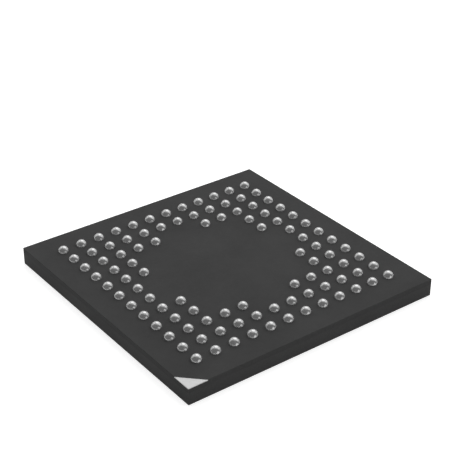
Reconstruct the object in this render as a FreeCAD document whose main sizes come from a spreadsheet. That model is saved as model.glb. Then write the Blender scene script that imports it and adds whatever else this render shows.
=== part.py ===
# Ball grid array chip, 100 balls at 0.65 mm pitch on a 9 mm square body, ball side up.
#
# Frame: +Z is the ball side. The origin is the middle of the moulded face that the chip lies on.
# Corner A1 is at -X -Y: columns 1 to 12 run along +X and rows A to M along +Y.
# From the bottom up: moulded cap with the die and its wires, die-side mask with the tracks,
# laminate core with the via posts, ball-side mask with the pads, solder balls.
# All sizes are millimetres.

import math
import os

import FreeCAD
import Part
import Sketcher

V = FreeCAD.Vector
ORIGIN = -1
START = 1
END = 2
CENTRE = 3

# Driving sizes
SIZES = {
    "body_width": 9.0,
    "mould_thickness": 0.4,
    "mask_thickness": 0.035,
    "core_thickness": 0.1,
    "copper_thickness": 0.015,
    "ball_pitch": 0.65,
    "ball_diameter": 0.365,
    "ball_height": 0.167,
    "ball_crown_inset": 0.0135,
    "pad_diameter": 0.4,
    "window_diameter": 0.3,
    "via_diameter": 0.1,
    "marker_leg": 0.65,
    "marker_thickness": 0.025,
    "die_width": 4.0,
    "die_thickness": 0.15,
    "film_thickness": 0.02,
    "die_pad_inset": 0.1,
    "die_pad_corner_gap": 0.1,
    "wire_thickness": 0.025,
    "wire_rise": 0.1,
    "wire_flat_run": 0.2,
    "stitch_length": 0.05,
    "finger_width": 0.08,
    "finger_length": 0.17,
    "finger_corner_gap": 0.17,
    "ring_land_gap": 0.095,
    "ring_margin": 0.03,
    "stub_length": 0.03,
    "track_width": 0.035,
    "land_width": 0.16,
    "dot_diameter": 0.5,
    "dot_inset": 0.585,
    "dot_recess": 0.02,
    "dot_thickness": 0.012,
}

GRID = 12
ROW_LETTERS = "abcdefghjklm"
# Balls in the left half of each row; the right half mirrors it
HALF_ROW = (6, 6, 5, 3, 3, 2, 2, 3, 3, 5, 6, 6)
# Blocks of the ball map in one quarter: distance from the middle of the outermost row in pitches,
# columns counted from the edge inwards, rows counted inwards
BLOCKS = ((5.5, 6, 2), (3.5, 5, 1), (2.5, 3, 2), (0.5, 2, 1))

# Nets of one side in the order of its bond fingers: column and row of the ball in pitches from
# the middle, then the gap between the second row's vias that the track runs through, if any
SIDE_NETS = (
    (-4.5, 4.5, None), (-4.5, 5.5, -4.0), (-3.5, 4.5, None), (-3.5, 5.5, -3.0), (-2.5, 4.5, None),
    (-2.5, 3.5, None), (-2.5, 5.5, -2.0), (-1.5, 4.5, None), (-1.5, 3.5, None), (-1.5, 5.5, -1.0),
    (-0.5, 4.5, None), (-0.5, 5.5, -0.09), (0.5, 5.5, 0.09), (0.5, 4.5, None), (1.5, 5.5, 1.0),
    (1.5, 3.5, None), (1.5, 4.5, None), (2.5, 5.5, 2.0), (2.5, 3.5, None), (2.5, 4.5, None),
    (3.5, 5.5, 3.0), (3.5, 4.5, None), (3.5, 3.5, None), (4.5, 5.5, 3.91), (5.5, 5.5, 4.06),
)
SECOND_ROW = 4.5
THIRD_ROW = 3.5
FINGER_GAPS = len(SIDE_NETS) - 1
# Sides of the chip and their turn about Z in degrees; the nets above are those of the back side
SIDES = (("back", 0), ("left", 90), ("front", 180), ("right", 270))

# Heights that follow from the layers. A ball's crown is rounder than its foot by the inset. The ring
# of fingers lies clear of the third row's lands, and the fingers and the die's pads fill their sides
# up to the gap at each corner.
FOLLOWING = {
    "mask_low": "=mould_thickness",
    "core_low": "=mask_low + mask_thickness",
    "core_high": "=core_low + core_thickness",
    "ball_face": "=core_high + mask_thickness",
    "track_low": "=core_low - copper_thickness",
    "film_low": "=mould_thickness - film_thickness",
    "die_low": "=film_low - die_thickness",
    "ball_crown_radius": "=ball_diameter / 2 - ball_crown_inset",
    "ring_distance": "=%g * ball_pitch + land_width / 2 + ring_land_gap" % THIRD_ROW,
    "finger_pitch": "=(ring_distance - finger_corner_gap) * 2 / %d" % FINGER_GAPS,
    "die_pad_row": "=die_width / 2 - die_pad_inset",
    "die_pad_pitch": "=(die_pad_row - die_pad_corner_gap) * 2 / %d" % FINGER_GAPS,
}


def make_sheet(doc):
    """Write the driving sizes and those that follow into the sheet, each under its alias."""
    sheet = doc.addObject("Spreadsheet::Sheet", "Dims")
    for row, (alias, value) in enumerate(list(SIZES.items()) + list(FOLLOWING.items()), 1):
        sheet.set("A%d" % row, alias)
        sheet.set("B%d" % row, str(value))
        sheet.setAlias("B%d" % row, alias)
    doc.recompute()
    return sheet


doc = FreeCAD.newDocument("bga_chip")
sheet = make_sheet(doc)
nodes = {}


def size(alias):
    return float(sheet.get(alias))


def bind(thing, **expressions):
    """Bind properties to the sheet; a double underscore in a name stands for a dot."""
    for name, expression in expressions.items():
        thing.setExpression(name.replace("__", "."), expression)


def place(thing, across=None, along=None, up=None):
    for axis, expression in (("x", across), ("y", along), ("z", up)):
        if expression:
            thing.setExpression("Placement.Base." + axis, expression)


def keep(name, thing):
    """Register a finished sub-part as a node."""
    thing.Label = name
    nodes[name] = thing
    return thing


def origin_plane(body, role):
    return [feature for feature in body.Origin.OriginFeatures if feature.Role == role][0]


def sketch_on(body, role, name, across=None, along=None, up=None):
    """Sketch on an origin plane of the body, shifted by expressions in the plane's own axes."""
    sketch = body.newObject("Sketcher::SketchObject", name)
    sketch.AttachmentSupport = [(origin_plane(body, role), "")]
    sketch.MapMode = "FlatFace"
    for axis, expression in (("x", across), ("y", along), ("z", up)):
        if expression:
            sketch.setExpression("AttachmentOffset.Base." + axis, expression)
    return sketch


def draw_circle(sketch, diameter):
    """Circle round the sketch's origin with its diameter bound to the sheet."""
    sketch.addGeometry(Part.Circle(V(0, 0, 0), V(0, 0, 1), size(diameter) / 2), False)
    sketch.addConstraint(Sketcher.Constraint("Coincident", 0, CENTRE, ORIGIN, START))
    number = sketch.addConstraint(Sketcher.Constraint("Diameter", 0, size(diameter)))
    sketch.setExpression("Constraints[%d]" % number, "Dims." + diameter)


def draw_loop(sketch, corners):
    """Closed loop of lines through the corners, joined end to start."""
    first = sketch.GeometryCount
    count = len(corners)
    lines = [Part.LineSegment(corners[i], corners[(i + 1) % count]) for i in range(count)]
    sketch.addGeometry(lines, False)
    joints = []
    for i in range(count):
        joints.append(Sketcher.Constraint("Coincident", first + i, END, first + (i + 1) % count, START))
    sketch.addConstraint(joints)


def pad(body, sketch, name, length):
    feature = body.newObject("PartDesign::Pad", name)
    feature.Profile = sketch
    feature.Refine = False
    feature.setExpression("Length", length)
    body.Tip = feature
    return feature


def cut(name, base, *tools):
    """Take each tool away from the base in turn; every tool's solids stay clear of each other."""
    for number, tool in enumerate(tools, 1):
        step = doc.addObject("Part::Cut", "%s_cut_%d" % (name, number))
        step.Base = base
        step.Tool = tool
        step.Refine = False
        base = step
    return base


def group(name, members):
    bundle = doc.addObject("Part::Compound", name)
    bundle.Links = members
    return bundle


def linear(body, sketch, axis, count, name):
    """Row of copies one ball pitch apart."""
    pattern = body.newObject("PartDesign::LinearPattern", name)
    pattern.Direction = (sketch, [axis])
    pattern.Occurrences = count
    pattern.setExpression("Length", "%d * Dims.ball_pitch" % (count - 1))
    return pattern


def mirrored(body, role, name):
    pattern = body.newObject("PartDesign::Mirrored", name)
    pattern.MirrorPlane = (origin_plane(body, role), [""])
    return pattern


def spread(body, feature, sketch, columns, rows, both_halves):
    """Repeat a feature over a block of the ball map and its mirror images."""
    name = feature.Name
    multi = body.newObject("PartDesign::MultiTransform", name + "_grid")
    multi.Originals = [feature]
    multi.Refine = False
    steps = []
    if columns > 1:
        steps.append(linear(body, sketch, "H_Axis", columns, name + "_columns"))
    if rows > 1:
        steps.append(linear(body, sketch, "V_Axis", rows, name + "_rows"))
    steps.append(mirrored(body, "YZ_Plane", name + "_right_half"))
    if both_halves:
        steps.append(mirrored(body, "XZ_Plane", name + "_back_half"))
    multi.Transformations = steps
    body.Tip = multi


def posts_on_map(name, diameter, level, height):
    """Body with one round post of the given diameter at every ball's place."""
    body = doc.addObject("PartDesign::Body", name)
    for number, (distance, columns, rows) in enumerate(BLOCKS, 1):
        sketch = sketch_on(
            body, "XY_Plane", "%s_circle_%d" % (name, number),
            "-%g * Dims.ball_pitch" % (GRID / 2 - 0.5), "-%g * Dims.ball_pitch" % distance, level)
        draw_circle(sketch, diameter)
        feature = pad(body, sketch, "%s_%d" % (name, number), height)
        spread(body, feature, sketch, columns, rows, True)
    return body


def box(name, widths, corner):
    """Block with its three sizes and its low corner bound to expressions."""
    block = doc.addObject("Part::Box", name)
    bind(block, Length=widths[0], Width=widths[1], Height=widths[2])
    place(block, *corner)
    return block


def centred_box(name, width, height, level):
    half = "-%s / 2" % width
    return box(name, (width, width, height), (half, half, level))


def shift(point, direction, distance):
    """Point moved sideways, to the left of the direction."""
    return (point[0] - direction[1] * distance, point[1] + direction[0] * distance)


def unit(start, end):
    length = math.hypot(end[0] - start[0], end[1] - start[1])
    return ((end[0] - start[0]) / length, (end[1] - start[1]) / length)


def mitre(corner, before, after, distance):
    """Corner of the line that runs to the left of a bend at an even distance."""
    turn = (before[0] * after[1] - before[1] * after[0]) / (1 + before[0] * after[0] + before[1] * after[1])
    moved = shift(corner, before, distance)
    return (moved[0] - before[0] * distance * turn, moved[1] - before[1] * distance * turn)


def edge_points(path, widths, side):
    """One edge of a strip along the path; each run has its own width."""
    runs = [unit(path[i], path[i + 1]) for i in range(len(path) - 1)]
    points = [shift(path[0], runs[0], side * widths[0] / 2)]
    for i in range(1, len(runs)):
        if widths[i] == widths[i - 1]:
            points.append(mitre(path[i], runs[i - 1], runs[i], side * widths[i] / 2))
        else:
            points.append(shift(path[i], runs[i - 1], side * widths[i - 1] / 2))
            points.append(shift(path[i], runs[i], side * widths[i] / 2))
    points.append(shift(path[-1], runs[-1], side * widths[-1] / 2))
    return points


def land_points(centre, direction, width):
    """Square land round the centre, from the left of its entry side round to the right of it."""
    corners = []
    for ahead, side in ((-1, 1), (1, 1), (1, -1), (-1, -1)):
        corner = shift(centre, direction, side * width / 2)
        reach = ahead * width / 2
        corners.append((corner[0] + direction[0] * reach, corner[1] + direction[1] * reach))
    return corners


def track_outline(number):
    """Outline of one net's copper: bond finger, track and the land on its via."""
    column, row, gap = SIDE_NETS[number]
    pitch = size("ball_pitch")
    across = (number - FINGER_GAPS / 2) * size("finger_pitch")
    inner = size("ring_distance")
    outer = inner + size("finger_length")
    stub = size("stub_length")
    path = [(across, inner), (across, outer), (across, outer + stub)]
    if row * pitch < inner:
        path = [(across, outer), (across, inner), (across, inner - stub)]
    if gap is not None:
        path.append((gap * pitch, SECOND_ROW * pitch))
    centre = (column * pitch, row * pitch)
    heading = unit(path[-1], centre)
    reach = size("land_width") / 2
    path.append((centre[0] - heading[0] * reach, centre[1] - heading[1] * reach))
    widths = [size("finger_width")] + [size("track_width")] * (len(path) - 2)
    left = edge_points(path, widths, 1)
    right = edge_points(path, widths, -1)
    return left + land_points(centre, heading, size("land_width")) + right[::-1]


def wire_outline(length):
    """Side outline of a bond wire: rise from the die, flat run, slope and stitch on the finger."""
    die = size("die_low")
    half = size("wire_thickness") / 2
    loop = die - size("wire_rise")
    foot = size("track_low") - half
    path = [(0, die), (0, loop), (size("wire_flat_run"), loop)]
    path += [(length - size("stitch_length"), foot), (length, foot)]
    widths = [size("wire_thickness")] * 4
    return edge_points(path, widths, 1) + edge_points(path, widths, -1)[::-1]


def wire_solid(number):
    """One bond wire of the back side, fanned out from the die's edge to its finger."""
    start = size("die_pad_row")
    end = size("ring_distance") + size("finger_length") / 2
    from_middle = number - FINGER_GAPS / 2
    at_die = from_middle * size("die_pad_pitch")
    at_finger = from_middle * size("finger_pitch")
    ahead = unit((at_die, start), (at_finger, end))
    length = math.hypot(at_finger - at_die, end - start)
    half = size("wire_thickness") / 2
    corner = shift((at_die, start), ahead, half)
    outline = [V(corner[0] + ahead[0] * a, corner[1] + ahead[1] * a, b) for a, b in wire_outline(length)]
    face = Part.Face(Part.makePolygon(outline + outline[:1]))
    return face.extrude(V(ahead[1], -ahead[0], 0) * 2 * half)


def track_solid(number):
    level = size("track_low")
    outline = [V(a, b, level) for a, b in track_outline(number)]
    face = Part.Face(Part.makePolygon(outline + outline[:1]))
    return face.extrude(V(0, 0, size("copper_thickness")))


def make_tracks():
    """Die-side copper: every net takes its own way, so the back side's are worked out in a loop."""
    tracks = doc.addObject("Part::Feature", "tracks_back")
    tracks.Shape = Part.makeCompound([track_solid(number) for number in range(len(SIDE_NETS))])
    turn_to_sides(tracks, "die_side_tracks")


def make_wires():
    """Bond wires: their runs differ, so the back side's are worked out as one group of solids."""
    wires = doc.addObject("Part::Feature", "wires_back")
    wires.Shape = Part.makeCompound([wire_solid(number) for number in range(len(SIDE_NETS))])
    turn_to_sides(wires, "bond_wires")


def turn_to_sides(body, name):
    """One node for each side of the chip, made from the back side's body."""
    for side, angle in SIDES:
        turned = group("%s_%s" % (name, side), [body])
        turned.Placement = FreeCAD.Placement(V(0, 0, 0), FreeCAD.Rotation(V(0, 0, 1), angle))
        keep("%s_%s" % (name, side), turned)


def make_die():
    keep("silicon_die", centred_box(
        "silicon_die", "Dims.die_width", "Dims.die_thickness", "Dims.die_low"))
    keep("die_attach_film", centred_box(
        "die_attach_film", "Dims.die_width", "Dims.film_thickness", "Dims.film_low"))


def finger_windows(name):
    """Blocks that fill the mask's opening over each side's fingers, down to the copper's face."""
    run = "%d * Dims.finger_pitch + Dims.finger_width + 2 * Dims.ring_margin" % FINGER_GAPS
    depth = "Dims.finger_length + 2 * Dims.ring_margin"
    near = "Dims.ring_distance - Dims.ring_margin"
    middle = "-(%s) / 2" % run
    far = "-(%s) - (%s)" % (near, depth)
    height = "Dims.mask_thickness - Dims.copper_thickness"
    level = "Dims.mask_low"
    return [
        box(name + "_back", (run, depth, height), (middle, near, level)),
        box(name + "_front", (run, depth, height), (middle, far, level)),
        box(name + "_right", (depth, run, height), (near, middle, level)),
        box(name + "_left", (depth, run, height), (far, middle, level)),
    ]


def side_group(prefix, name):
    return group(prefix + "_" + name, [nodes["%s_%s" % (name, side)] for side, _ in SIDES])


def make_die_side_mask():
    """Mask plate laid over the tracks, with a window over each side's fingers."""
    plate = centred_box("die_mask_plate", "Dims.body_width", "Dims.mask_thickness", "Dims.mask_low")
    windows = group("mask_windows", finger_windows("mask_window"))
    keep("die_side_solder_mask", cut("die_mask", plate, windows, side_group("mask", "die_side_tracks")))


def make_dot():
    """Ink disc at the bottom of a shallow round recess of the moulded face, near corner A1."""
    corner = "-(Dims.body_width / 2 - Dims.dot_inset)"
    recess = doc.addObject("Part::Cylinder", "dot_recess")
    bind(recess, Radius="Dims.dot_diameter / 2", Height="Dims.dot_recess")
    place(recess, corner, corner)
    ink = doc.addObject("Part::Cylinder", "dot_ink")
    bind(ink, Radius="Dims.dot_diameter / 2", Height="Dims.dot_thickness")
    place(ink, corner, corner, "Dims.dot_recess - Dims.dot_thickness")
    keep("pin_one_dot", ink)
    return recess


def make_mould():
    """Moulded cap round the die, the film and the wires, with a rib in each finger window."""
    recess = make_dot()
    block = centred_box("mould_block", "Dims.body_width", "Dims.mould_thickness", "0")
    solid = doc.addObject("Part::MultiFuse", "mould_solid")
    solid.Shapes = [block] + finger_windows("mould_rib")
    cap = cut("mould", solid, nodes["silicon_die"], nodes["die_attach_film"], recess,
              side_group("mould", "bond_wires"))
    keep("mould_cap", cap)


def make_core():
    """Laminate core with a hole for each via, and the posts that fill them."""
    plate = centred_box("core_plate", "Dims.body_width", "Dims.core_thickness", "Dims.core_low")
    posts = posts_on_map("via_post", "via_diameter", "Dims.core_low", "Dims.core_thickness")
    keep("via_posts", posts)
    keep("laminate_core", cut("core", plate, posts))


def draw_corner(sketch):
    """Right triangle in corner A1 with both legs bound to the sheet."""
    edge = -size("body_width") / 2
    leg = size("marker_leg")
    draw_loop(sketch, [V(edge, edge, 0), V(edge + leg, edge, 0), V(edge, edge + leg, 0)])
    sketch.addConstraint([Sketcher.Constraint("Horizontal", 0), Sketcher.Constraint("Vertical", 2)])
    bound = (
        (Sketcher.Constraint("Distance", 0, leg), "Dims.marker_leg"),
        (Sketcher.Constraint("Distance", 2, leg), "Dims.marker_leg"),
        (Sketcher.Constraint("DistanceX", 0, START, ORIGIN, START, -edge), "Dims.body_width / 2"),
        (Sketcher.Constraint("DistanceY", 0, START, ORIGIN, START, -edge), "Dims.body_width / 2"),
    )
    for rule, expression in bound:
        number = sketch.addConstraint(rule)
        sketch.setExpression("Constraints[%d]" % number, expression)


def make_corner():
    """Bare copper triangle in corner A1."""
    marker = doc.addObject("PartDesign::Body", "marker")
    outline = sketch_on(marker, "XY_Plane", "marker_outline", up="Dims.core_high")
    draw_corner(outline)
    pad(marker, outline, "marker_copper", "Dims.marker_thickness")
    keep("corner_triangle", marker)


def make_ball_side_mask():
    """Mask plate laid over the pads, with a window for each ball and the corner left bare."""
    plate = centred_box("ball_mask_plate", "Dims.body_width", "Dims.mask_thickness", "Dims.core_high")
    corner = doc.addObject("PartDesign::Body", "bare_corner")
    outline = sketch_on(corner, "XY_Plane", "bare_corner_outline", up="Dims.core_high")
    draw_corner(outline)
    pad(corner, outline, "bare_corner_prism", "Dims.mask_thickness")
    pads = group("all_pads", [nodes["ball_pads_row_" + letter] for letter in ROW_LETTERS])
    windows = posts_on_map("window", "window_diameter", "Dims.core_high", "Dims.mask_thickness")
    keep("ball_side_solder_mask", cut("ball_mask", plate, corner, pads, windows))


def first_in_row(index):
    """Place of a row's first ball as expressions in pitches."""
    edge = GRID / 2 - 0.5
    return "-%g * Dims.ball_pitch" % edge, "%g * Dims.ball_pitch" % (index - edge)


def make_pad_row(index):
    """Copper pads of one row, standing on their via posts."""
    letter = ROW_LETTERS[index]
    across, along = first_in_row(index)
    body = doc.addObject("PartDesign::Body", "pads_" + letter)
    sketch = sketch_on(body, "XY_Plane", "pad_circle_" + letter, across, along, "Dims.core_high")
    draw_circle(sketch, "pad_diameter")
    feature = pad(body, sketch, "pad_" + letter, "Dims.copper_thickness")
    spread(body, feature, sketch, HALF_ROW[index], 1, False)
    keep("ball_pads_row_" + letter, body)


def draw_ball(sketch):
    """Half section of a ball: neck down to its pad, seat on the mask, leaning flank, round crown."""
    neck = size("window_diameter") / 2
    drop = size("mask_thickness") - size("copper_thickness")
    foot = size("ball_diameter") / 2
    radius = size("ball_crown_radius")
    height = size("ball_height")
    middle = height - radius
    lean = math.acos(radius / math.hypot(foot, middle)) - math.atan2(middle, foot)
    shoulder = V(radius * math.cos(lean), middle + radius * math.sin(lean), 0)
    crown = Part.Circle(V(0, middle, 0), V(0, 0, 1), radius)
    sketch.addGeometry([
        Part.LineSegment(V(0, height, 0), V(0, -drop, 0)),
        Part.LineSegment(V(0, -drop, 0), V(neck, -drop, 0)),
        Part.LineSegment(V(neck, -drop, 0), V(neck, 0, 0)),
        Part.LineSegment(V(neck, 0, 0), V(foot, 0, 0)),
        Part.LineSegment(V(foot, 0, 0), shoulder),
        Part.ArcOfCircle(crown, lean, math.pi / 2),
    ], False)
    sketch.addConstraint([Sketcher.Constraint("Coincident", i, END, i + 1, START) for i in range(4)])
    sketch.addConstraint([
        Sketcher.Constraint("Tangent", 4, END, 5, START),
        Sketcher.Constraint("Coincident", 5, END, 0, START),
        Sketcher.Constraint("PointOnObject", 0, START, -2),
        Sketcher.Constraint("PointOnObject", 5, CENTRE, -2),
        Sketcher.Constraint("PointOnObject", 3, START, -1),
        Sketcher.Constraint("Vertical", 0),
        Sketcher.Constraint("Horizontal", 1),
        Sketcher.Constraint("Vertical", 2),
        Sketcher.Constraint("Horizontal", 3),
    ])
    bound = (
        (Sketcher.Constraint("Distance", 1, neck), "Dims.window_diameter / 2"),
        (Sketcher.Constraint("Distance", 2, drop), "Dims.mask_thickness - Dims.copper_thickness"),
        (Sketcher.Constraint("DistanceX", ORIGIN, START, 4, START, foot), "Dims.ball_diameter / 2"),
        (Sketcher.Constraint("Radius", 5, radius), "Dims.ball_crown_radius"),
        (Sketcher.Constraint("DistanceY", ORIGIN, START, 0, START, height), "Dims.ball_height"),
    )
    for rule, expression in bound:
        number = sketch.addConstraint(rule)
        sketch.setExpression("Constraints[%d]" % number, expression)


def make_ball_row(index):
    """Solder balls of one row, each revolved about its own axis and seated on pad and mask."""
    letter = ROW_LETTERS[index]
    across, along = first_in_row(index)
    body = doc.addObject("PartDesign::Body", "balls_" + letter)
    # The plane's own axes are X, Z and -Y
    sketch = sketch_on(
        body, "XZ_Plane", "ball_section_" + letter, across, "Dims.ball_face", "-(%s)" % along)
    draw_ball(sketch)
    feature = body.newObject("PartDesign::Revolution", "ball_" + letter)
    feature.Profile = sketch
    feature.ReferenceAxis = (sketch, ["V_Axis"])
    feature.Angle = 360
    body.Tip = feature
    spread(body, feature, sketch, HALF_ROW[index], 1, False)
    keep("solder_balls_row_" + letter, body)


def check_and_write():
    """Stop on any broken object, then write one file for each node."""
    doc.recompute()
    for thing in doc.Objects:
        if "Invalid" in thing.State or "Error" in thing.State:
            raise RuntimeError("%s: %s" % (thing.Name, thing.State))
    os.makedirs("parts", exist_ok=True)
    for name, thing in nodes.items():
        shape = thing.Shape
        if shape.isNull() or not shape.isValid() or not shape.Solids:
            raise RuntimeError("no valid solid in " + name)
        shape.exportStep("parts/%s.step" % name)
        print("%-26s %4d solids %12.5f mm3" % (name, len(shape.Solids), shape.Volume))


make_tracks()
make_wires()
make_die()
make_die_side_mask()
make_mould()
make_core()
make_corner()
for row_index in range(GRID):
    make_pad_row(row_index)
    make_ball_row(row_index)
make_ball_side_mask()
check_and_write()
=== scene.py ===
import math

import bmesh
import bpy
from mathutils import Matrix, Vector


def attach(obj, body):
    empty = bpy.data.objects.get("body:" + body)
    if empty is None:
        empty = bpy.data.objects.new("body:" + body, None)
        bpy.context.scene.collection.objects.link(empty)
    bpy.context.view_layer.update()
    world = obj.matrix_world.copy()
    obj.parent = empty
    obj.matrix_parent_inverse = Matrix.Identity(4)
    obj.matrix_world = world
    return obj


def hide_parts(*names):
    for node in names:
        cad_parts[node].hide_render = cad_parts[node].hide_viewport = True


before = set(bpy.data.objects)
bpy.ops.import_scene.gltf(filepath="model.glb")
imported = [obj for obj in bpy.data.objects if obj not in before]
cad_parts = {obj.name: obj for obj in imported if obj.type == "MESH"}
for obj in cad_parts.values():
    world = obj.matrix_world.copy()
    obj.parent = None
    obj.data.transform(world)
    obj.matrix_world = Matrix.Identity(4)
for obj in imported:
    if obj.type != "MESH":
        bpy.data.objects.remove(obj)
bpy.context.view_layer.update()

MM = 0.001

# Sizes of the chip, as the solids have them
BALL_FACE = 0.57 * MM
BALL_PITCH = 0.65 * MM
FOOT_RADIUS = 0.1825 * MM
BALL_HEIGHT = 0.167 * MM
CROWN_RADIUS = 0.169 * MM

# Rows of the ball grid, and the balls that each has on either side of its middle
GRID = 12
ROW_LETTERS = "abcdefghjklm"
HALF_ROW = (6, 6, 5, 3, 3, 2, 2, 3, 3, 5, 6, 6)

# A ball's facets round it and up each of its two arcs, and the angle at which the arcs meet
BALL_SIDES = 24
BALL_RINGS = 5
SHOULDER = math.radians(50)

# Points nearer than this are one, and an edge that turns by more than this is sharp
SAME_POINT = 0.0005 * MM
CREASE = math.radians(50)

# Noise keeps mostly to this middle range
MIDDLE = {"From Min": 0.3, "From Max": 0.7}

# Specular level of the matt black surfaces, whose fine filler leaves hardly any gloss
FAINT_GLOSS = 0.12


def linear(code):
    """sRGB hex to linear colour."""
    values = [int(code[i:i + 2], 16) / 255 for i in (1, 3, 5)]
    return tuple(v / 12.92 if v <= 0.04045 else ((v + 0.055) / 1.055) ** 2.4 for v in values) + (1,)


def add(tree, kind, inputs=None, **settings):
    """Add a node with its settings; an input is given a value, or joined to another node's output."""
    node = tree.nodes.new(kind)
    for name, value in settings.items():
        setattr(node, name, value)
    for name, value in (inputs or {}).items():
        if isinstance(value, bpy.types.NodeSocket):
            tree.links.new(value, node.inputs[name])
        else:
            node.inputs[name].default_value = value
    return node


def new_material(name):
    """Empty node material and its tree."""
    material = bpy.data.materials.new(name)
    material.use_nodes = True
    tree = material.node_tree
    tree.nodes.clear()
    return material, tree


def tint(tree, pattern, dark, light):
    """Colour that runs from dark to light as the pattern does."""
    share = add(tree, "ShaderNodeMapRange", {**MIDDLE, "Value": pattern}).outputs["Result"]
    return add(tree, "ShaderNodeMix", {"Factor": share, "A": linear(dark), "B": linear(light)},
               data_type="RGBA").outputs["Result"]


def coat(tree, finish):
    """Close a material with the shader that has the given finish."""
    shader = add(tree, "ShaderNodeBsdfPrincipled", finish)
    add(tree, "ShaderNodeOutputMaterial", {"Surface": shader.outputs["BSDF"]})


def epoxy_mould():
    """Epoxy moulding compound: silica grains in black resin, which leave an even, fine matt skin."""
    material, tree = new_material("epoxy_moulding_compound")
    place = add(tree, "ShaderNodeTexCoord").outputs["Object"]
    # Filler grains are 0.03 mm; drawn at 0.06 mm so that they show
    filler = add(tree, "ShaderNodeTexNoise", {"Vector": place, "Scale": 1 / (0.06 * MM), "Detail": 3,
                                              "Roughness": 0.6}).outputs["Fac"]
    # Clouds about 1.6 mm across, where the resin flowed unevenly
    cloud = add(tree, "ShaderNodeTexNoise", {"Vector": place, "Scale": 1 / (1.6 * MM)}).outputs["Fac"]
    matt = add(tree, "ShaderNodeMapRange", {**MIDDLE, "Value": cloud, "To Min": 0.66, "To Max": 0.76})
    bumps = add(tree, "ShaderNodeBump", {"Height": filler, "Distance": 0.004 * MM, "Strength": 0.5})
    coat(tree, {"Base Color": tint(tree, filler, "#3d3d3d", "#434343"), "Roughness": matt.outputs["Result"],
                "Specular IOR Level": FAINT_GLOSS, "Normal": bumps.outputs["Normal"]})
    return material


def black_mask():
    """Liquid photo-imageable solder mask, matt black: a smooth skin with a slight orange peel."""
    material, tree = new_material("black_solder_mask")
    place = add(tree, "ShaderNodeTexCoord").outputs["Object"]
    # Orange peel 0.12 mm across, and faint clouds ten times as wide
    peel = add(tree, "ShaderNodeTexNoise", {"Vector": place, "Scale": 1 / (0.12 * MM)}).outputs["Fac"]
    cloud = add(tree, "ShaderNodeTexNoise", {"Vector": place, "Scale": 1 / (1.2 * MM)}).outputs["Fac"]
    matt = add(tree, "ShaderNodeMapRange", {**MIDDLE, "Value": peel, "To Min": 0.78, "To Max": 0.86})
    bumps = add(tree, "ShaderNodeBump", {"Height": peel, "Distance": 0.003 * MM, "Strength": 0.4})
    coat(tree, {"Base Color": tint(tree, cloud, "#3c3c3c", "#414141"), "Roughness": matt.outputs["Result"],
                "Specular IOR Level": FAINT_GLOSS, "Normal": bumps.outputs["Normal"]})
    return material


def sawn_laminate():
    """Glass and resin laminate cut by a dicing saw: dark, with fine upright saw lines."""
    material, tree = new_material("sawn_laminate")
    place = add(tree, "ShaderNodeTexCoord").outputs["Object"]
    upright = add(tree, "ShaderNodeMapping", {"Vector": place, "Scale": (1, 1, 0.1)}).outputs["Vector"]
    # Saw lines 0.04 mm apart
    lines = add(tree, "ShaderNodeTexNoise", {"Vector": upright, "Scale": 1 / (0.04 * MM)}).outputs["Fac"]
    matt = add(tree, "ShaderNodeMapRange", {**MIDDLE, "Value": lines, "To Min": 0.7, "To Max": 0.8})
    bumps = add(tree, "ShaderNodeBump", {"Height": lines, "Distance": 0.003 * MM, "Strength": 0.5})
    coat(tree, {"Base Color": tint(tree, lines, "#3b3b3b", "#414141"), "Roughness": matt.outputs["Result"],
                "Specular IOR Level": FAINT_GLOSS, "Normal": bumps.outputs["Normal"]})
    return material


def tin_solder():
    """Reflowed tin, silver and copper solder: bright, with a faint frost of grains from cooling."""
    material, tree = new_material("reflowed_tin_solder")
    place = add(tree, "ShaderNodeTexCoord").outputs["Object"]
    # Grains about 0.05 mm across
    frost = add(tree, "ShaderNodeTexNoise", {"Vector": place, "Scale": 1 / (0.05 * MM)}).outputs["Fac"]
    gloss = add(tree, "ShaderNodeMapRange", {**MIDDLE, "Value": frost, "To Min": 0.16, "To Max": 0.24})
    bumps = add(tree, "ShaderNodeBump", {"Height": frost, "Distance": 0.001 * MM, "Strength": 0.3})
    # Not wholly metallic, because the skin of oxide scatters a little light
    coat(tree, {"Base Color": tint(tree, frost, "#acacac", "#b3b3b3"), "Roughness": gloss.outputs["Result"],
                "Metallic": 0.85, "Normal": bumps.outputs["Normal"]})
    return material


def plated_copper():
    """Copper under a pale matt plating: soft satin with the rolling grain just visible."""
    material, tree = new_material("pale_plated_copper")
    place = add(tree, "ShaderNodeTexCoord").outputs["Object"]
    # Rolling grain 0.05 mm across
    satin = add(tree, "ShaderNodeTexNoise", {"Vector": place, "Scale": 1 / (0.05 * MM)}).outputs["Fac"]
    matt = add(tree, "ShaderNodeMapRange", {**MIDDLE, "Value": satin, "To Min": 0.5, "To Max": 0.6})
    bumps = add(tree, "ShaderNodeBump", {"Height": satin, "Distance": 0.001 * MM, "Strength": 0.3})
    coat(tree, {"Base Color": tint(tree, satin, "#d4d4d4", "#dcdcdc"), "Roughness": matt.outputs["Result"],
                "Normal": bumps.outputs["Normal"]})
    return material


def marking_ink():
    """White marking ink: a thin matt coat that covers unevenly at its grain."""
    material, tree = new_material("white_marking_ink")
    place = add(tree, "ShaderNodeTexCoord").outputs["Object"]
    # Specks 0.04 mm across
    speck = add(tree, "ShaderNodeTexNoise", {"Vector": place, "Scale": 1 / (0.04 * MM),
                                             "Roughness": 0.6}).outputs["Fac"]
    bumps = add(tree, "ShaderNodeBump", {"Height": speck, "Distance": 0.002 * MM, "Strength": 0.4})
    coat(tree, {"Base Color": tint(tree, speck, "#e6e6e6", "#f0f0f0"), "Roughness": 0.7,
                "Normal": bumps.outputs["Normal"]})
    return material


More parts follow.
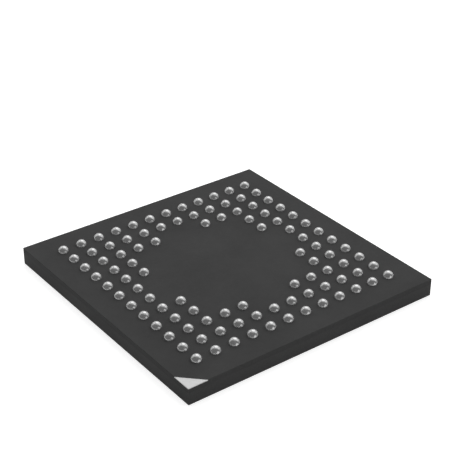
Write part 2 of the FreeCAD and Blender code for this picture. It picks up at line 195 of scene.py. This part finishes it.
def silicon():
    """Polished silicon: dark, glassy grey."""
    material, tree = new_material("polished_silicon")
    place = add(tree, "ShaderNodeTexCoord").outputs["Object"]
    haze = add(tree, "ShaderNodeTexNoise", {"Vector": place, "Scale": 1 / (0.5 * MM)}).outputs["Fac"]
    coat(tree, {"Base Color": tint(tree, haze, "#4a4c52", "#53555c"), "Roughness": 0.15, "Metallic": 0.6})
    return material


def attach_film():
    """Adhesive film: amber resin, slightly cloudy."""
    material, tree = new_material("adhesive_film")
    place = add(tree, "ShaderNodeTexCoord").outputs["Object"]
    haze = add(tree, "ShaderNodeTexNoise", {"Vector": place, "Scale": 1 / (0.3 * MM)}).outputs["Fac"]
    coat(tree, {"Base Color": tint(tree, haze, "#8a7443", "#96804c"), "Roughness": 0.5})
    return material


def bare_metal(name, dark, light, grain, roughness):
    """Drawn or etched metal: its colour, and a grain that varies the gloss."""
    material, tree = new_material(name)
    place = add(tree, "ShaderNodeTexCoord").outputs["Object"]
    pattern = add(tree, "ShaderNodeTexNoise", {"Vector": place, "Scale": 1 / grain}).outputs["Fac"]
    gloss = add(tree, "ShaderNodeMapRange", {**MIDDLE, "Value": pattern, "To Min": roughness,
                                             "To Max": roughness + 0.1})
    coat(tree, {"Base Color": tint(tree, pattern, dark, light), "Roughness": gloss.outputs["Result"],
                "Metallic": 1})
    return material


def paint(material, *names):
    """Give CAD nodes a material."""
    for name in names:
        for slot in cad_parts[name].material_slots:
            slot.material = material


def finished(bm, name, material, smooth=True):
    """Turn a bmesh into an object of the scene."""
    mesh = bpy.data.meshes.new(name)
    bm.to_mesh(mesh)
    bm.free()
    mesh.materials.append(material)
    for polygon in mesh.polygons:
        polygon.use_smooth = smooth
    mesh.set_sharp_from_angle(angle=CREASE)
    piece = bpy.data.objects.new(name, mesh)
    bpy.context.scene.collection.objects.link(piece)
    return piece


def arc(centre, radius, low, high):
    """Points of an arc from the low angle up to just before the high one."""
    angles = [low + (high - low) * i / BALL_RINGS for i in range(BALL_RINGS)]
    return [centre + Vector((math.cos(a), 0, math.sin(a))) * radius for a in angles]


def one_ball(bm, centre):
    """Solder ball: a round crown on a flank that swells a little, closed underneath."""
    crown = Vector((0, 0, BALL_HEIGHT - CROWN_RADIUS))
    foot = Vector((FOOT_RADIUS, 0, 0))
    outward = Vector((math.cos(SHOULDER), 0, math.sin(SHOULDER)))
    # The flank's arc is larger by this much, so that it leaves the crown smoothly and ends at the foot
    reach = foot - crown
    extra = (reach.length_squared - CROWN_RADIUS ** 2) / (2 * (CROWN_RADIUS - reach.dot(outward)))
    flank = crown - outward * extra
    lean = math.atan2((foot - flank).z, (foot - flank).x)
    points = [Vector((0, 0, 0))]
    points += arc(flank, CROWN_RADIUS + extra, lean, SHOULDER)
    points += arc(crown, CROWN_RADIUS, SHOULDER, math.pi / 2)
    points.append(Vector((0, 0, BALL_HEIGHT)))
    profile = [bm.verts.new(centre + point) for point in points]
    edges = [bm.edges.new(pair) for pair in zip(profile, profile[1:])]
    bmesh.ops.spin(bm, geom=profile + edges, cent=centre, axis=(0, 0, 1), angle=2 * math.pi,
                   steps=BALL_SIDES, use_merge=True)


def ball_row(index, material):
    """All the balls of one row as one piece."""
    bm = bmesh.new()
    outermost = GRID / 2 - 0.5
    along = (index - outermost) * BALL_PITCH
    for column in range(HALF_ROW[index]):
        for side in (-1, 1):
            one_ball(bm, Vector((side * (outermost - column) * BALL_PITCH, along, BALL_FACE)))
    bmesh.ops.remove_doubles(bm, verts=bm.verts, dist=SAME_POINT)
    bmesh.ops.recalc_face_normals(bm, faces=bm.faces)
    name = "solder_balls_row_" + ROW_LETTERS[index]
    piece = finished(bm, "bright_" + name, material)
    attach(piece, "root")
    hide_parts(name)


def dress_chip():
    """Materials for the solids, and balls with a slight swell in place of the plain ones."""
    paint(epoxy_mould(), "mould_cap")
    paint(black_mask(), "ball_side_solder_mask", "die_side_solder_mask")
    paint(sawn_laminate(), "laminate_core")
    paint(plated_copper(), "corner_triangle")
    paint(marking_ink(), "pin_one_dot")
    paint(silicon(), "silicon_die")
    paint(attach_film(), "die_attach_film")
    gold = bare_metal("drawn_gold", "#cfa04a", "#dcae58", 0.02 * MM, 0.25)
    copper = bare_metal("etched_copper", "#b06a45", "#bd7850", 0.03 * MM, 0.35)
    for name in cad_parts:
        if name.startswith("bond_wires"):
            paint(gold, name)
        if name.startswith(("die_side_tracks", "via_posts", "ball_pads")):
            paint(copper, name)
    solder = tin_solder()
    for index in range(GRID):
        ball_row(index, solder)


def stand(name, data, target, azimuth, elevation, distance):
    """Stand the camera or a lamp off its target, in a direction in degrees, facing it."""
    a = math.radians(azimuth)
    e = math.radians(elevation)
    back = Vector((math.sin(a) * math.cos(e), -math.cos(a) * math.cos(e), math.sin(e)))
    thing = bpy.data.objects.new(name, data)
    thing.location = target + back * distance
    thing.rotation_euler = (-back).to_track_quat("-Z", "Y").to_euler()
    bpy.context.scene.collection.objects.link(thing)
    return thing


# The photograph's camera: its place comes from the slab's corners and the ball grid
AIM = Vector((1.453, 1.853, 0.57)) * MM
AZIMUTH = -36.73
ELEVATION = 30
DISTANCE = 40.56 * MM
FOCAL_PIXELS = 1249
FRAME_PIXELS = 450
SENSOR = 36
NEAREST_SEEN = 1 * MM
FARTHEST_SEEN = 2


def make_camera():
    """Camera with the photograph's view of the chip."""
    camera = bpy.data.cameras.new("photo_camera")
    camera.sensor_fit = "HORIZONTAL"
    camera.sensor_width = SENSOR
    camera.lens = SENSOR * FOCAL_PIXELS / FRAME_PIXELS
    camera.clip_start = NEAREST_SEEN
    camera.clip_end = FARTHEST_SEEN
    bpy.context.scene.camera = stand("photo_camera", camera, AIM, AZIMUTH, ELEVATION, DISTANCE)


# Soft boxes: azimuth and elevation in degrees, distance and width in metres, and brightness
SOFT_BOXES = {
    "key_light": (129, 50, 0.12, 0.1, 1.6),
    "wide_light": (128, 48, 0.14, 0.35, 0.65),
    "left_light": (200, 32, 0.08, 0.07, 0.7),
    "right_light": (74, 36, 0.08, 0.06, 0.6),
    "low_right_light": (10, 9, 0.12, 0.09, 1),
}


def make_lights():
    """Round soft boxes that face the middle of the chip."""
    for name, (azimuth, elevation, distance, width, brightness) in SOFT_BOXES.items():
        lamp = bpy.data.lights.new(name, "AREA")
        lamp.shape = "DISK"
        lamp.size = width
        area = math.pi / 4 * width ** 2
        lamp.energy = brightness * math.pi * area
        stand(name, lamp, Vector((0, 0, 0)), azimuth, elevation, distance)


# Brightness of the walls and of the room above, and the heights in the sky between which one fades
# into the other
WALLS = 0.9
ROOM = 0.25
WALLS_END = 0.02
ROOM_STARTS = 0.22


def make_world():
    """Pale walls near the table and a dim room above them."""
    world = bpy.data.worlds.new("studio")
    world.use_nodes = True
    tree = world.node_tree
    tree.nodes.clear()
    way = add(tree, "ShaderNodeTexCoord").outputs["Generated"]
    height = add(tree, "ShaderNodeSeparateXYZ", {"Vector": way}).outputs["Z"]
    fade = add(tree, "ShaderNodeMapRange", {"Value": height, "From Min": WALLS_END, "From Max": ROOM_STARTS,
                                            "To Min": WALLS, "To Max": ROOM}, interpolation_type="SMOOTHSTEP")
    sky = add(tree, "ShaderNodeBackground", {"Color": (1, 1, 1, 1), "Strength": fade.outputs["Result"]})
    add(tree, "ShaderNodeOutputWorld", {"Surface": sky.outputs["Background"]})
    bpy.context.scene.world = world


# The table returns this much of the light on it, and glows with as much where it is seen
TABLE_COLOUR = (0.7, 0.7, 0.7, 1)
TABLE_HALF_WIDTH = 0.5
# A hair below the chip, so that no ray starts in both faces at once
TABLE_DROP = 0.005 * MM
# The table is clear to rays from the face that lies on it, which are shorter than this
CLEAR_REACH = 0.05 * MM


def white_table():
    """White table top that keeps the chip's faint shadow and is clear from below."""
    material, tree = new_material("white_table")
    path = add(tree, "ShaderNodeLightPath").outputs
    # Seen by the camera, by glossy metal and through glass
    seen = add(tree, "ShaderNodeMath", {0: path["Is Camera Ray"], 1: path["Is Glossy Ray"]},
               operation="MAXIMUM").outputs[0]
    seen = add(tree, "ShaderNodeMath", {0: seen, 1: path["Is Transmission Ray"]},
               operation="MAXIMUM").outputs[0]
    matt = add(tree, "ShaderNodeBsdfDiffuse", {"Color": TABLE_COLOUR})
    glow = add(tree, "ShaderNodeEmission", {"Color": TABLE_COLOUR, "Strength": seen})
    top = add(tree, "ShaderNodeAddShader", {0: matt.outputs["BSDF"], 1: glow.outputs["Emission"]})
    close = add(tree, "ShaderNodeMath", {0: path["Ray Length"], 1: CLEAR_REACH}, operation="LESS_THAN")
    below = add(tree, "ShaderNodeNewGeometry").outputs["Backfacing"]
    hidden = add(tree, "ShaderNodeMath", {0: below, 1: close.outputs[0]}, operation="MAXIMUM")
    clear = add(tree, "ShaderNodeBsdfTransparent")
    both = add(tree, "ShaderNodeMixShader", {0: hidden.outputs[0], 1: top.outputs[0], 2: clear.outputs[0]})
    add(tree, "ShaderNodeOutputMaterial", {"Surface": both.outputs[0]})
    return material


def make_table():
    """Table that the chip lies on."""
    bm = bmesh.new()
    bmesh.ops.create_grid(bm, x_segments=1, y_segments=1, size=TABLE_HALF_WIDTH,
                          matrix=Matrix.Translation((0, 0, -TABLE_DROP)))
    finished(bm, "table_top", white_table(), smooth=False)


dress_chip()
make_camera()
make_world()
make_table()
make_lights()
bpy.context.scene.view_settings.view_transform = "Standard"
